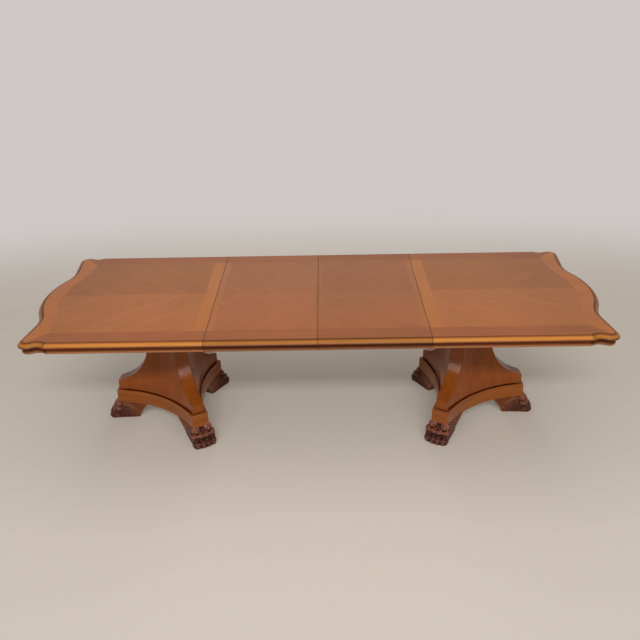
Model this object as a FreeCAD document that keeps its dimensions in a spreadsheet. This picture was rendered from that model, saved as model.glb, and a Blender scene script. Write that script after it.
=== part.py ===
# Extending double pedestal dining table. Two half tops stand on triform pedestals with carved paw
# feet, two lift-out leaves lie between them, and geared wooden slides carry the leaves.
# Lengths are millimetres. +X runs along the table, +Y to its back and +Z up. The origin is on the
# floor, under the middle of the top.
import FreeCAD, Part
import Sketcher
import math
import os
import re

Vector = FreeCAD.Vector
up = Vector(0, 0, 1)

sizes = (
    # the whole table
    ("table_length", 3048),
    ("table_width", 1118),
    ("table_height", 787),
    ("leaf_width", 559),
    ("seam_gap", 0.4),
    ("fit_gap", 0.1),
    ("overrun", 12),
    # moulded edge, measured out from the edge of the flat top and down from its face
    ("edge_projection", 28),
    ("panel_thickness", 25),
    ("rim_height", 62),
    ("quirk_depth", 2),
    ("ovolo_radius", 32.5),
    ("ovolo_drop", 18),
    ("nose_drop", 24),
    ("cove_reach", 20),
    ("cove_radius", 15),
    ("bead_reach", 8),
    ("bead_drop", 46),
    ("bead_radius", 8.5),
    ("ledge_width", 20),
    # serpentine end, along the edge of the flat top
    ("bow_share", 0.458),
    ("bow_rise", 68),
    ("shoulder_share", 0.213),
    ("ear_rise", 22),
    ("ear_radius", 25),
    ("dip_radius", 71),
    ("dip_depth", 14),
    # wooden slides
    ("slide_share", 0.25045),
    ("rail_width", 34),
    ("rail_gap", 1),
    ("side_rail_height", 44),
    ("side_rail_hold", 481),
    ("side_rail_reach", 80),
    ("centre_rail_height", 60),
    ("centre_rail_setback", 9),
    ("tongue_neck", 10),
    ("tongue_head", 15),
    ("tongue_depth", 8),
    ("slide_clearance", 0.5),
    ("tie_offset", 110),
    ("tie_width", 50),
    ("tie_thickness", 18),
    # equaliser gears and racks
    ("gear_module", 6),
    ("gear_teeth", 12),
    ("pressure_angle", 20),
    ("gear_addendum", 4.5),
    ("gear_dedendum", 5.2),
    ("rack_addendum", 4),
    ("rack_dedendum", 5.5),
    ("gear_backlash", 0.8),
    ("rack_backlash", 0.6),
    ("gear_thickness", 11),
    ("gear_drop", 1.2),
    ("rack_height", 13),
    ("rack_spare_teeth", 7),
    ("rack_teeth_past_middle", 4),
    ("gear_notch_length", 96),
    ("pivot_radius", 5),
    ("pivot_clearance", 0.08),
    ("pivot_depth", 30),
    ("pivot_head_radius", 9),
    ("pivot_head_height", 4),
    ("pivot_head_gap", 0.3),
    # leaf cleats and turn buttons under the seams
    ("cleat_setback", 80),
    ("cleat_section", 20),
    ("cleat_clearance", 0.8),
    ("button_clearance", 12),
    ("button_setback", 40),
    ("button_reach", 86),
    ("button_half_width", 14),
    ("button_end_radius", 16),
    ("button_thickness", 9),
    ("button_gap", 0.3),
    ("button_screw_radius", 3),
    ("button_screw_clearance", 0.06),
    ("button_screw_depth", 12),
    ("button_head_radius", 8),
    ("button_head_height", 4),
    # pedestals
    ("pedestal_share", 0.2964),
    ("plate_length", 380),
    ("plate_clearance", 13),
    ("plate_thickness", 30),
    ("plate_chamfer", 6),
    ("bolt_edge", 40),
    ("bolt_radius", 4),
    ("bolt_clearance", 0.2),
    ("bolt_depth", 14),
    ("bolt_head_radius", 10),
    ("bolt_head_height", 5),
    ("column_radius", 338),
    ("column_half_width", 33),
    ("column_face_distance", 138),
    ("column_block_height", 52),
    ("shadow_step", 5),
    ("shadow_inset", 12),
    ("plinth_radius", 352),
    ("plinth_half_width", 48),
    ("plinth_face_distance", 150),
    ("plinth_bottom", 108),
    ("plinth_height", 79),
    ("plinth_edge_round", 3),
    # paw feet and their glides
    ("glide_thickness", 3),
    ("glide_radius", 18),
    ("glide_place", 322),
    ("paw_heel", 232),
    ("paw_length", 190),
    ("paw_half_width", 74),
    ("paw_edge_round", 9),
    ("toe_length", 34),
    ("toe_half_width", 22),
    ("toe_half_height", 27),
    ("toe_level", 19),
    ("knuckle_length", 30),
    ("knuckle_half_height", 18),
    ("knuckle_level", 66),
    ("scroll_depth", 24),
    ("scroll_half_width", 27),
    ("scroll_half_height", 25),
    ("scroll_spread", 72),
    ("scroll_drop", 16),
)

doc = FreeCAD.newDocument("PedestalTable")
sheet = doc.addObject("Spreadsheet::Sheet", "Sizes")
for row, (alias, number) in enumerate(sizes, 1):
    sheet.set("A%d" % row, alias)
    sheet.set("B%d" % row, str(number))
    sheet.setAlias("B%d" % row, alias)
doc.recompute()

sub_parts = []


# values and expressions

# sizes and levels that follow from the ones in the sheet
derived = {
    "flat_half_width": "table_width / 2 - edge_projection",
    "half_top_start": "leaf_width + seam_gap / 2",
    "panel_underside": "table_height - panel_thickness",
    "bow_radius": "bow_share * table_width",
    "shoulder_radius": "shoulder_share * table_width",
    "slide_offset": "slide_share * table_width",
    "side_rail_length": "side_rail_reach + leaf_width + side_rail_hold",
    "side_rail_far_face": "rail_width * 3 / 2 + rail_gap",
    "side_rail_bottom": "panel_underside - side_rail_height",
    "centre_rail_length": "2 * (leaf_width - centre_rail_setback)",
    "centre_rail_bottom": "panel_underside - centre_rail_height",
    "tongue_level": "panel_underside - side_rail_height / 2",
    "pitch_radius": "gear_module * gear_teeth / 2",
    "tooth_pitch": "gear_module * %.9f" % math.pi,
    "rack_teeth": "floor(leaf_width / tooth_pitch) + rack_spare_teeth",
    "cleat_length": "leaf_width - 2 * cleat_setback",
    "button_offset": "slide_offset + side_rail_far_face + button_clearance + button_reach",
    "button_level": "panel_underside - button_gap - button_thickness",
    "pedestal_offset": "leaf_width + pedestal_share * (table_length / 2 - leaf_width)",
    "plate_width": "2 * (slide_offset - side_rail_far_face - plate_clearance)",
    "plate_underside": "panel_underside - plate_thickness",
    "bolt_spacing_x": "plate_length - 2 * bolt_edge",
    "bolt_spacing_y": "plate_width - 2 * bolt_edge",
    "plinth_top": "plinth_bottom + plinth_height",
    "column_bottom": "plinth_top + shadow_step",
}


def in_sheet(expression):
    return re.sub(r"[a-z]\w*", lambda match: sheet_term(match.group()), str(expression))


def sheet_term(word):
    if word in derived:
        return "(%s)" % in_sheet(derived[word])
    return word if word == "floor" else "Sizes." + word


def value(expression):
    return float(sheet.evalExpression(in_sheet(expression)))


def bind(thing, prop, expression):
    thing.setExpression(prop, in_sheet(expression))


sides = (("left", 180), ("right", 0))
facings = (("front", -1), ("back", 1))


# document helpers

def keep(thing, label):
    thing.Label = label
    sub_parts.append(thing)
    return thing


def turned(angle):
    return FreeCAD.Placement(Vector(), FreeCAD.Rotation(up, angle))


def new_body(label):
    return doc.addObject("PartDesign::Body", label)


def sketch_in(body, name, role, height=None):
    sketch = body.newObject("Sketcher::SketchObject", name)
    plane = next(feature for feature in body.Origin.OriginFeatures if feature.Role == role)
    sketch.AttachmentSupport = [(plane, "")]
    sketch.MapMode = "FlatFace"
    if height is not None:
        bind(sketch, "AttachmentOffset.Base.z", height)
    return sketch


def pin_point(sketch, geometry, end, x, y):
    for kind, expression in (("DistanceX", x), ("DistanceY", y)):
        number = sketch.addConstraint(Sketcher.Constraint(kind, -1, 1, geometry, end, value(expression)))
        bind(sketch, "Constraints[%d]" % number, expression)


def arc_between(start, end, radius, turn):
    chord = end - start
    height = math.sqrt(radius ** 2 - (chord.Length / 2) ** 2)
    side = Vector(-chord.y, chord.x, 0).normalize() * turn
    centre = (start + end) / 2 + side * height
    first, last = (start, end) if turn > 0 else (end, start)
    angles = [math.atan2(point.y - centre.y, point.x - centre.x) for point in (first, last)]
    return Part.ArcOfCircle(Part.Circle(centre, up, radius), angles[0], angles[1])


# A closed outline from corners written as sheet expressions. A corner with a radius and a turn
# starts an arc to the next corner, counterclockwise for a positive turn.
def draw_outline(sketch, corners, flip=1):
    places = [Vector(value(corner[0]), value(corner[1]), 0) for corner in corners]
    ends = []
    for index, corner in enumerate(corners):
        start = places[index]
        end = places[(index + 1) % len(corners)]
        if len(corner) == 2:
            sketch.addGeometry(Part.LineSegment(start, end))
            ends.append((1, 2))
            continue
        turn = corner[3] * flip
        sketch.addGeometry(arc_between(start, end, value(corner[2]), turn))
        ends.append((1, 2) if turn > 0 else (2, 1))
    for index, corner in enumerate(corners):
        after = (index + 1) % len(corners)
        sketch.addConstraint(Sketcher.Constraint("Coincident", index, ends[index][1], after, ends[after][0]))
        pin_point(sketch, index, ends[index][0], corner[0], corner[1])
        if len(corner) == 4:
            number = sketch.addConstraint(Sketcher.Constraint("Radius", index, value(corner[2])))
            bind(sketch, "Constraints[%d]" % number, corner[2])


def draw_circle(sketch, x, y, radius):
    number = sketch.addGeometry(Part.Circle(Vector(value(x), value(y), 0), up, value(radius)))
    pin_point(sketch, number, 3, x, y)
    index = sketch.addConstraint(Sketcher.Constraint("Radius", number, value(radius)))
    bind(sketch, "Constraints[%d]" % index, radius)


def pad(body, sketch, length, name="pad"):
    feature = body.newObject("PartDesign::Pad", name)
    feature.Profile = sketch
    bind(feature, "Length", length)
    doc.recompute()
    return feature


# Cuts upwards from the sketch's plane.
def pocket_up(body, sketch, depth, name="pocket"):
    before = body.Shape.Volume
    feature = body.newObject("PartDesign::Pocket", name)
    feature.Profile = sketch
    feature.Reversed = True
    bind(feature, "Length", depth)
    doc.recompute()
    if not body.Shape.Volume < before:
        raise RuntimeError("%s cuts nothing from %s" % (name, body.Label))
    return feature


def edges_at(shape, height):
    names = []
    for index, edge in enumerate(shape.Edges, 1):
        levels = [vertex.Z for vertex in edge.Vertexes]
        if max(abs(level - height) for level in levels) < value("fit_gap"):
            names.append("Edge%d" % index)
    return names


def box(name, lengths, corner):
    solid = doc.addObject("Part::Box", name)
    for prop, expression in zip(("Length", "Width", "Height"), lengths):
        bind(solid, prop, expression)
    for axis, expression in zip("xyz", corner):
        bind(solid, "Placement.Base.%s" % axis, expression)
    return solid


def cylinder(name, radius, height, foot):
    solid = doc.addObject("Part::Cylinder", name)
    bind(solid, "Radius", radius)
    bind(solid, "Height", height)
    for axis, expression in zip("xyz", foot):
        bind(solid, "Placement.Base.%s" % axis, expression)
    return solid


def fused(name, first, second):
    solid = doc.addObject("Part::Fuse", name)
    solid.Base = first
    solid.Tool = second
    return solid


def group(label, members):
    compound = doc.addObject("Part::Compound", label)
    compound.Links = members
    return keep(compound, label)


def shaped(label, shape, placement=None):
    feature = doc.addObject("Part::Feature", label)
    feature.Shape = shape
    if placement is not None:
        feature.Placement = placement
    return feature


# section of the moulded edge: distance out from the flat top's edge and height above its face

moulding_corners = (
    ("0", "-quirk_depth", "ovolo_radius", -1),
    ("edge_projection", "-ovolo_drop"),
    ("edge_projection", "-nose_drop"),
    ("cove_reach", "-nose_drop", "cove_radius", 1),
    ("bead_reach", "-bead_drop", "bead_radius", -1),
    ("bead_reach", "-rim_height"),
    ("-ledge_width", "-rim_height"),
    ("-ledge_width", "-panel_thickness"),
    ("0", "-panel_thickness"),
)


# A straight run of the moulding along X, on the side of the table that sign gives.
def straight_moulding(name, sign, start, length):
    body = new_body(name)
    sketch = sketch_in(body, name + "_section", "YZ_Plane", start)
    corners = []
    for corner in moulding_corners:
        across = "%d * (flat_half_width + %s)" % (sign, corner[0])
        level = "table_height + (%s)" % corner[1]
        corners.append((across, level) + corner[2:])
    draw_outline(sketch, corners, sign)
    pad(body, sketch, length, name + "_pad")
    return body


def moulding_wire(origin, outward):
    places = []
    for corner in moulding_corners:
        places.append(Vector(value(corner[0]), value(corner[1]), 0))
    edges = []
    for index, corner in enumerate(moulding_corners):
        start = places[index]
        end = places[(index + 1) % len(places)]
        if len(corner) == 2:
            edges.append(Part.LineSegment(start, end).toShape())
        else:
            edges.append(arc_between(start, end, value(corner[2]), corner[3]).toShape())
    wire = Part.Wire(edges)
    turn = FreeCAD.Rotation(outward, up, outward.cross(up), "XYZ")
    wire.Placement = FreeCAD.Placement(origin, turn)
    return wire


# serpentine end at +X: bow, shoulders, rounded ears and the dips beside them

class EndOutline:
    def __init__(self, offset=0.0):
        tip = value("table_length / 2 - edge_projection")
        side = value("flat_half_width")
        hollow = tip - value("bow_rise")
        self.side = side + offset
        self.tip = Vector(tip + offset, 0, 0)
        self.bow = (Vector(tip - value("bow_radius"), 0, 0), value("bow_radius") + offset)
        reach = value("bow_radius + shoulder_radius")
        across = math.sqrt(reach ** 2 - (reach - value("bow_rise")) ** 2)
        shoulder_radius = value("shoulder_radius")
        self.shoulder = (Vector(hollow + shoulder_radius, across, 0), shoulder_radius - offset)
        ear_radius = value("ear_radius")
        ear_place = Vector(hollow + value("ear_rise") - ear_radius, side - ear_radius, 0)
        self.ear = (ear_place, ear_radius + offset)
        rise = value("dip_radius - dip_depth")
        along = math.sqrt(value("ear_radius + dip_radius") ** 2 - (ear_radius + rise) ** 2)
        self.dip = (Vector(ear_place.x - along, side + rise, 0), value("dip_radius") - offset)
        self.cusp = self.on_dip_at(self.side)
        self.corners()

    def on_dip_at(self, level):
        centre, radius = self.dip
        return Vector(centre.x - math.sqrt(radius ** 2 - (centre.y - level) ** 2), level, 0)

    def corners(self):
        towards = (self.shoulder[0] - self.bow[0]).normalize()
        self.bow_end = self.bow[0] + towards * self.bow[1]
        link = self.ear[0] - self.shoulder[0]
        lean = math.acos((self.shoulder[1] + self.ear[1]) / link.Length)
        angle = math.atan2(link.y, link.x) + lean
        normal = Vector(math.cos(angle), math.sin(angle), 0)
        self.shoulder_end = self.shoulder[0] + normal * self.shoulder[1]
        self.ear_start = self.ear[0] - normal * self.ear[1]
        outward = (self.dip[0] - self.ear[0]).normalize()
        self.ear_end = self.ear[0] + outward * self.ear[1]

    # Half of the outline, from the tip of the bow to its last point, on the side that sign gives.
    def curves(self, sign, last):
        return [
            self.round(self.bow, self.tip, self.bow_end, sign),
            self.round(self.shoulder, self.bow_end, self.shoulder_end, sign),
            Part.LineSegment(on_side(self.shoulder_end, sign), on_side(self.ear_start, sign)),
            self.round(self.ear, self.ear_start, self.ear_end, sign),
            self.round(self.dip, self.ear_end, last, sign),
        ]

    def round(self, circle, start, end, sign):
        centre, radius = circle
        middle = centre + ((start - centre) + (end - centre)).normalize() * radius
        points = [on_side(point, sign) for point in (start, middle, end)]
        return Part.ArcOfCircle(*points)


def on_side(point, sign):
    return Vector(point.x, point.y * sign, point.z)


# half tops, built at +X and turned half a circle for the left one

flat_edge = EndOutline()
nose_edge = EndOutline(value("edge_projection"))
panel_edge = EndOutline(-value("fit_gap"))


# Everything on one side of the upright plane through the mitre beside an ear.
def mitre_side(sign, towards_end):
    inner = on_side(flat_edge.cusp, sign)
    outer = on_side(nose_edge.cusp, sign)
    along = (outer - inner).normalize()
    away = Vector(along.y, -along.x, 0) * sign * (1 if towards_end else -1)
    reach = value("2 * (edge_projection + ledge_width)")
    base = inner + up * value("table_height - rim_height - overrun")
    corners = [base - along * reach, base + along * reach]
    corners += [corners[1] + away * reach, corners[0] + away * reach]
    face = Part.Face(Part.makePolygon(corners + [corners[0]]))
    return face.extrude(up * value("rim_height + 2 * overrun"))


def half_panel(label, angle):
    body = new_body(label)
    sketch = sketch_in(body, label + "_outline", "XY_Plane", "panel_underside")
    start = value("half_top_start")
    seam = [Vector(start, -panel_edge.side, 0), Vector(start, panel_edge.side, 0)]
    curves = [Part.LineSegment(seam[1], seam[0])]
    for sign, corner in zip((-1, 1), seam):
        curves.append(Part.LineSegment(corner, on_side(panel_edge.cusp, sign)))
        curves += panel_edge.curves(sign, panel_edge.cusp)
    for number, curve in enumerate(curves):
        sketch.addGeometry(curve)
        sketch.addConstraint(Sketcher.Constraint("Block", number))
    pad(body, sketch, "panel_thickness", label + "_pad")
    holes = sketch_in(body, label + "_bolt_holes", "XY_Plane", "panel_underside")
    for x, y in bolt_places:
        draw_circle(holes, x, y, "bolt_radius + bolt_clearance")
    pocket_up(body, holes, "bolt_depth", label + "_bolt_pocket")
    add_button_holes(body, label, "leaf_width + button_setback")
    body.Placement = turned(angle)
    return keep(body, label)


def add_button_holes(body, label, x):
    holes = sketch_in(body, label + "_button_holes", "XY_Plane", "panel_underside")
    for sign in (-1, 1):
        draw_circle(holes, x, "%d * button_offset" % sign, "button_screw_radius + button_screw_clearance")
    pocket_up(body, holes, "button_screw_depth", label + "_button_pocket")


bolt_places = []
for along in (-1, 1):
    for across in (-1, 1):
        place = ("pedestal_offset + %d * bolt_spacing_x / 2" % along, "%d * bolt_spacing_y / 2" % across)
        bolt_places.append(place)


def end_moulding_shape():
    centre, radius = flat_edge.dip
    outer_cusp = nose_edge.cusp - centre
    spare = value("overrun") / nose_edge.dip[1]
    angle = math.atan2(outer_cusp.y, outer_cusp.x) - spare
    last = centre + Vector(math.cos(angle), math.sin(angle), 0) * radius
    edges = [curve.toShape() for sign in (-1, 1) for curve in flat_edge.curves(sign, last)]
    spine = Part.Wire(Part.__sortEdges__(edges))
    spine.translate(up * value("table_height"))
    start = spine.OrderedVertexes[0].Point
    outside = Vector(centre.x, math.copysign(centre.y, start.y), start.z)
    strip = spine.makePipeShell([moulding_wire(start, (outside - start).normalize())], True, False)
    for sign in (-1, 1):
        strip = strip.cut(mitre_side(sign, False))
    return strip.Solids[0]


end_moulding = end_moulding_shape()
for side, angle in sides:
    half_panel(side + "_top_panel", angle)
    keep(shaped(side + "_end_edge_moulding", end_moulding, turned(angle)), side + "_end_edge_moulding")
    for facing, sign in facings:
        local = sign if angle == 0 else -sign
        label = "%s_%s_edge_moulding" % (side, facing)
        length = nose_edge.cusp.x - value("half_top_start") + value("overrun")
        run = straight_moulding(label + "_run", local, "half_top_start", "%.6f" % length)
        mitred = doc.addObject("Part::Cut", label)
        mitred.Base = run
        mitred.Tool = shaped(label + "_mitre", mitre_side(local, True))
        mitred.Placement = turned(angle)
        keep(mitred, label)


# leaves between the half tops

def leaf_panel(label, sign):
    body = new_body(label)
    sketch = sketch_in(body, label + "_outline", "XY_Plane", "panel_underside")
    near = "%d * seam_gap / 2" % sign
    far = "%d * (leaf_width - seam_gap / 2)" % sign
    edge = "(flat_half_width - fit_gap)"
    draw_outline(sketch, ((near, "-" + edge), (far, "-" + edge), (far, edge), (near, edge)))
    pad(body, sketch, "panel_thickness", label + "_pad")
    if sign < 0:
        add_button_holes(body, label, "-button_setback")
    return keep(body, label)


for side, sign in (("left", -1), ("right", 1)):
    leaf_panel(side + "_leaf_panel", sign)
    start = "seam_gap / 2" if sign > 0 else "seam_gap / 2 - leaf_width"
    for facing, face in facings:
        label = "%s_leaf_%s_moulding" % (side, facing)
        keep(straight_moulding(label, face, start, "leaf_width - seam_gap"), label)
    cleats = []
    for facing, face in facings:
        inner = "(slide_offset - side_rail_far_face - cleat_clearance - cleat_section)"
        low = inner if face > 0 else "-%s - cleat_section" % inner
        corner = ("%d * leaf_width / 2 - cleat_length / 2" % sign, low, "panel_underside - cleat_section")
        lengths = ("cleat_length", "cleat_section", "cleat_section")
        cleats.append(box("%s_%s_cleat" % (side, facing), lengths, corner))
    group(side + "_leaf_cleats", cleats)


# wooden slides: a centre rail with a dovetail tongue on each side, between two grooved side rails

def centre_rail(label, sign):
    body = new_body(label)
    sketch = sketch_in(body, label + "_section", "YZ_Plane", "-centre_rail_length / 2")
    middle = "%d * slide_offset" % sign
    half = "rail_width / 2"
    right = (
        (half, "centre_rail_bottom"),
        (half, "tongue_level - tongue_neck / 2"),
        (half + " + tongue_depth", "tongue_level - tongue_head / 2"),
        (half + " + tongue_depth", "tongue_level + tongue_head / 2"),
        (half, "tongue_level + tongue_neck / 2"),
        (half, "panel_underside"),
    )
    corners = [("%s + %s" % (middle, across), level) for across, level in right]
    corners += [("%s - (%s)" % (middle, across), level) for across, level in reversed(right)]
    draw_outline(sketch, corners)
    pad(body, sketch, "centre_rail_length", label + "_pad")
    notch = sketch_in(body, label + "_notch", "XY_Plane", "centre_rail_bottom - overrun")
    near = middle + " - rail_width / 2 - overrun"
    far = middle + " + rail_width / 2 + overrun"
    end = "gear_notch_length / 2"
    draw_outline(notch, (("-" + end, near), (end, near), (end, far), ("-" + end, far)))
    pocket_up(body, notch, "overrun + centre_rail_height - side_rail_height", label + "_gear_notch")
    hole = sketch_in(body, label + "_pivot_hole", "XY_Plane", "side_rail_bottom")
    draw_circle(hole, "0", middle, "pivot_radius + pivot_clearance")
    pocket_up(body, hole, "pivot_depth", label + "_pivot_pocket")
    return keep(body, label)


# A side rail lies on the inner side of its centre rail (inward -1) or on the outer side (inward 1).
def side_rail(label, sign, inward, start):
    body = new_body(label)
    sketch = sketch_in(body, label + "_section", "YZ_Plane", start)
    away = sign * inward
    middle = "%d * slide_offset" % sign
    near = "(rail_width / 2 + rail_gap)"
    deep = "(rail_width / 2 + tongue_depth + slide_clearance)"
    mouth = "(tongue_neck / 2 + slide_clearance)"
    root = "(tongue_head / 2 + slide_clearance)"
    outline = (
        (near, "side_rail_bottom"),
        ("side_rail_far_face", "side_rail_bottom"),
        ("side_rail_far_face", "panel_underside"),
        (near, "panel_underside"),
        (near, "tongue_level + " + mouth),
        (deep, "tongue_level + " + root),
        (deep, "tongue_level - " + root),
        (near, "tongue_level - " + mouth),
    )
    draw_outline(sketch, [("%s + %d * %s" % (middle, away, across), level) for across, level in outline])
    pad(body, sketch, "side_rail_length", label + "_pad")
    return keep(body, label)


# The rack under a side rail. Its teeth leave a gap at X = 0, where the gear has a tooth.
def rack(name, sign, inward, direction):
    body = new_body(name)
    away = sign * inward
    middle = "%d * slide_offset" % sign
    back = "%s + %d * side_rail_far_face" % (middle, away)
    root = "%s + %d * (pitch_radius + rack_dedendum)" % (middle, away)
    tip = "%s + %d * (pitch_radius - rack_addendum)" % (middle, away)
    near = "%d * rack_teeth_past_middle * tooth_pitch" % direction
    far = "%d * (rack_teeth_past_middle - rack_teeth) * tooth_pitch" % direction
    level = "side_rail_bottom - rack_height"
    bar = sketch_in(body, name + "_bar", "XY_Plane", level)
    draw_outline(bar, ((near, back), (far, back), (far, root), (near, root)))
    pad(body, bar, "rack_height", name + "_bar_pad")
    slope = math.tan(math.radians(value("pressure_angle")))
    centre = "%d * (rack_teeth_past_middle - 1 / 2) * tooth_pitch" % direction
    half = "(tooth_pitch / 4 - rack_backlash / 2)"
    wide = "(%s + rack_dedendum * %.9f)" % (half, slope)
    slim = "(%s - rack_addendum * %.9f)" % (half, slope)
    tooth = sketch_in(body, name + "_tooth", "XY_Plane", level)
    corners = (
        ("%s - %s" % (centre, wide), root),
        ("%s + %s" % (centre, wide), root),
        ("%s + %s" % (centre, slim), tip),
        ("%s - %s" % (centre, slim), tip),
    )
    draw_outline(tooth, corners)
    first = pad(body, tooth, "rack_height", name + "_tooth_pad")
    row = body.newObject("PartDesign::LinearPattern", name + "_teeth")
    row.Originals = [first]
    row.Direction = (tooth, ["H_Axis"])
    row.Reversed = direction > 0
    bind(row, "Length", "(rack_teeth - 1) * tooth_pitch")
    bind(row, "Occurrences", "rack_teeth")
    body.Tip = row
    doc.recompute()
    return body


slide_places = (
    ("left", -1, "side_rail_reach - side_rail_length", 1),
    ("right", 1, "-side_rail_reach", -1),
)
for facing, sign in facings:
    centre_rail(facing + "_centre_slide", sign)
for side, inward, start, direction in slide_places:
    racks = []
    for facing, sign in facings:
        side_rail("%s_%s_slide" % (facing, side), sign, inward, start)
        racks.append(rack("%s_%s_rack" % (facing, side), sign, inward, direction))
    group(side + "_racks", racks)

ties = []
for name, sign in (("first", -1), ("second", 1)):
    width = "2 * slide_offset + rail_width"
    near = "%d * tie_offset - tie_width / 2" % sign
    corner = (near, "-(%s) / 2" % width, "centre_rail_bottom - tie_thickness")
    ties.append(box(name + "_tie", ("tie_width", width, "tie_thickness"), corner))
group("centre_slide_ties", ties)


# equaliser gears: each meshes with a left rack on one side and a right rack on the other

def involute(angle):
    return math.tan(angle) - angle


def gear(label, sign):
    body = new_body(label)
    middle = "%d * slide_offset" % sign
    level = "side_rail_bottom - gear_drop - gear_thickness"
    disc = sketch_in(body, label + "_disc", "XY_Plane", level)
    draw_circle(disc, "0", middle, "pitch_radius - gear_dedendum")
    draw_circle(disc, "0", middle, "pivot_radius + pivot_clearance")
    pad(body, disc, "gear_thickness", label + "_disc_pad")
    pitch = value("pitch_radius")
    slant = math.radians(value("pressure_angle"))
    base = pitch * math.cos(slant)
    half_angle = value("(tooth_pitch / 2 - gear_backlash) / 2") / pitch + involute(slant)
    flank = []
    addendum = value("gear_addendum")
    inside = pitch - value("2 * gear_dedendum")
    for radius in (inside, base, (base + pitch) / 2, pitch, pitch + addendum / 2, pitch + addendum):
        lean = half_angle - involute(math.acos(min(1.0, base / radius)))
        flank.append(Vector(radius * math.sin(lean), radius * math.cos(lean), 0))
    centre = Vector(0, value(middle), 0)
    outline = [centre + point for point in flank]
    outline += [centre + Vector(-point.x, point.y, 0) for point in reversed(flank)]
    tooth = sketch_in(body, label + "_tooth", "XY_Plane", level)
    for number, start in enumerate(outline):
        tooth.addGeometry(Part.LineSegment(start, outline[(number + 1) % len(outline)]))
        tooth.addConstraint(Sketcher.Constraint("Block", number))
    first = pad(body, tooth, "gear_thickness", label + "_tooth_pad")
    ring = body.newObject("PartDesign::PolarPattern", label + "_teeth")
    ring.Originals = [first]
    axis_sketch = sketch_in(body, label + "_axis", "XY_Plane", level)
    bind(axis_sketch, "AttachmentOffset.Base.y", middle)
    ring.Axis = (axis_sketch, ["N_Axis"])
    ring.Angle = 360
    bind(ring, "Occurrences", "gear_teeth")
    body.Tip = ring
    doc.recompute()
    return keep(body, label)


pivots = []
for facing, sign in facings:
    gear(facing + "_equaliser_gear", sign)
    middle = "%d * slide_offset" % sign
    gear_face = "side_rail_bottom - gear_drop - gear_thickness - pivot_head_gap"
    shank_length = "gear_drop + gear_thickness + pivot_head_gap + pivot_depth"
    shank = cylinder(facing + "_pivot_shank", "pivot_radius", shank_length, ("0", middle, gear_face))
    head_foot = ("0", middle, gear_face + " - pivot_head_height")
    head = cylinder(facing + "_pivot_head", "pivot_head_radius", "pivot_head_height", head_foot)
    pivots.append(fused(facing + "_pivot", shank, head))
group("equaliser_pivot_bolts", pivots)


# turn buttons that swing across a seam from below, each on a screw

def turn_button(label, x, sign, level):
    body = new_body(label)
    sketch = sketch_in(body, label + "_outline", "XY_Plane", level)
    low = "(%s) - button_half_width" % x
    high = "(%s) + button_half_width" % x
    pivot = "%d * button_offset" % sign
    inner_end = "%d * (button_offset - button_reach + button_half_width)" % sign
    corners = (
        (low, pivot, "button_end_radius", -sign),
        (high, pivot),
        (high, inner_end, "button_end_radius", -sign),
        (low, inner_end),
    )
    draw_outline(sketch, corners)
    draw_circle(sketch, x, pivot, "button_screw_radius + button_screw_clearance")
    pad(body, sketch, "button_thickness", label + "_pad")
    return keep(body, label)


button_rows = (
    ("left_half", "-leaf_width - button_setback"),
    ("left_leaf", "-button_setback"),
    ("right_half", "leaf_width + button_setback"),
)
for owner, x in button_rows:
    screws = []
    for facing, sign in facings:
        turn_button("%s_%s_turn_button" % (owner, facing), x, sign, "button_level")
        name = "%s_%s_button" % (owner, facing)
        y = "%d * button_offset" % sign
        face = "button_level - button_gap"
        shank_length = "button_thickness + 2 * button_gap + button_screw_depth"
        shank = cylinder(name + "_shank", "button_screw_radius", shank_length, (x, y, face))
        head_foot = (x, y, face + " - button_head_height")
        head = cylinder(name + "_head", "button_head_radius", "button_head_height", head_foot)
        screws.append(fused(name + "_screw", shank, head))
    group(owner + "_button_screws", screws)


# pedestals: plate, triform column and plinth

corner_turns = (0, 120, 240)


def corner_points(angle, radius, half_width, level):
    out = Vector(math.cos(angle), math.sin(angle), 0)
    across = Vector(-out.y, out.x, 0)
    return [out * radius + across * half_width * end + up * level for end in (-1, 1)]


def triform_curves(radius, half_width, face_distance, level=0.0):
    angles = [math.radians(turn) for turn in corner_turns]
    corners = [corner_points(angle, radius, half_width, level) for angle in angles]
    curves = []
    for index, angle in enumerate(angles):
        after = corners[(index + 1) % len(corners)]
        middle = angle + math.radians(corner_turns[1]) / 2
        hollow = Vector(math.cos(middle), math.sin(middle), 0) * face_distance + up * level
        curves.append(Part.LineSegment(corners[index][0], corners[index][1]))
        curves.append(Part.ArcOfCircle(corners[index][1], hollow, after[0]))
    return curves


def triform_wire(radius, half_width, face_distance, level):
    return Part.Wire([curve.toShape() for curve in triform_curves(radius, half_width, face_distance, level)])


# Outline of the column's corners above its base block: shares of the height and of the base radius.
column_shares = (
    (0.000, 1.000),
    (0.026, 0.908),
    (0.062, 0.793),
    (0.112, 0.683),
    (0.175, 0.592),
    (0.258, 0.508),
    (0.360, 0.448),
    (0.524, 0.398),
    (0.730, 0.370),
    (1.000, 0.360),
)
# The corners widen a little and the faces draw in as the radius shrinks to the top.
column_top_width_share = 1.16
column_top_face_share = 0.575
column_sections = 11


def column_wire(radius, level):
    base = value("column_radius")
    shrunk = (base - radius) / (base * (1 - column_shares[-1][1]))
    half_width = value("column_half_width") * (1 + shrunk * (column_top_width_share - 1))
    face = value("column_face_distance") * (1 + shrunk * (column_top_face_share - 1))
    return triform_wire(radius, half_width, face, level)


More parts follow.
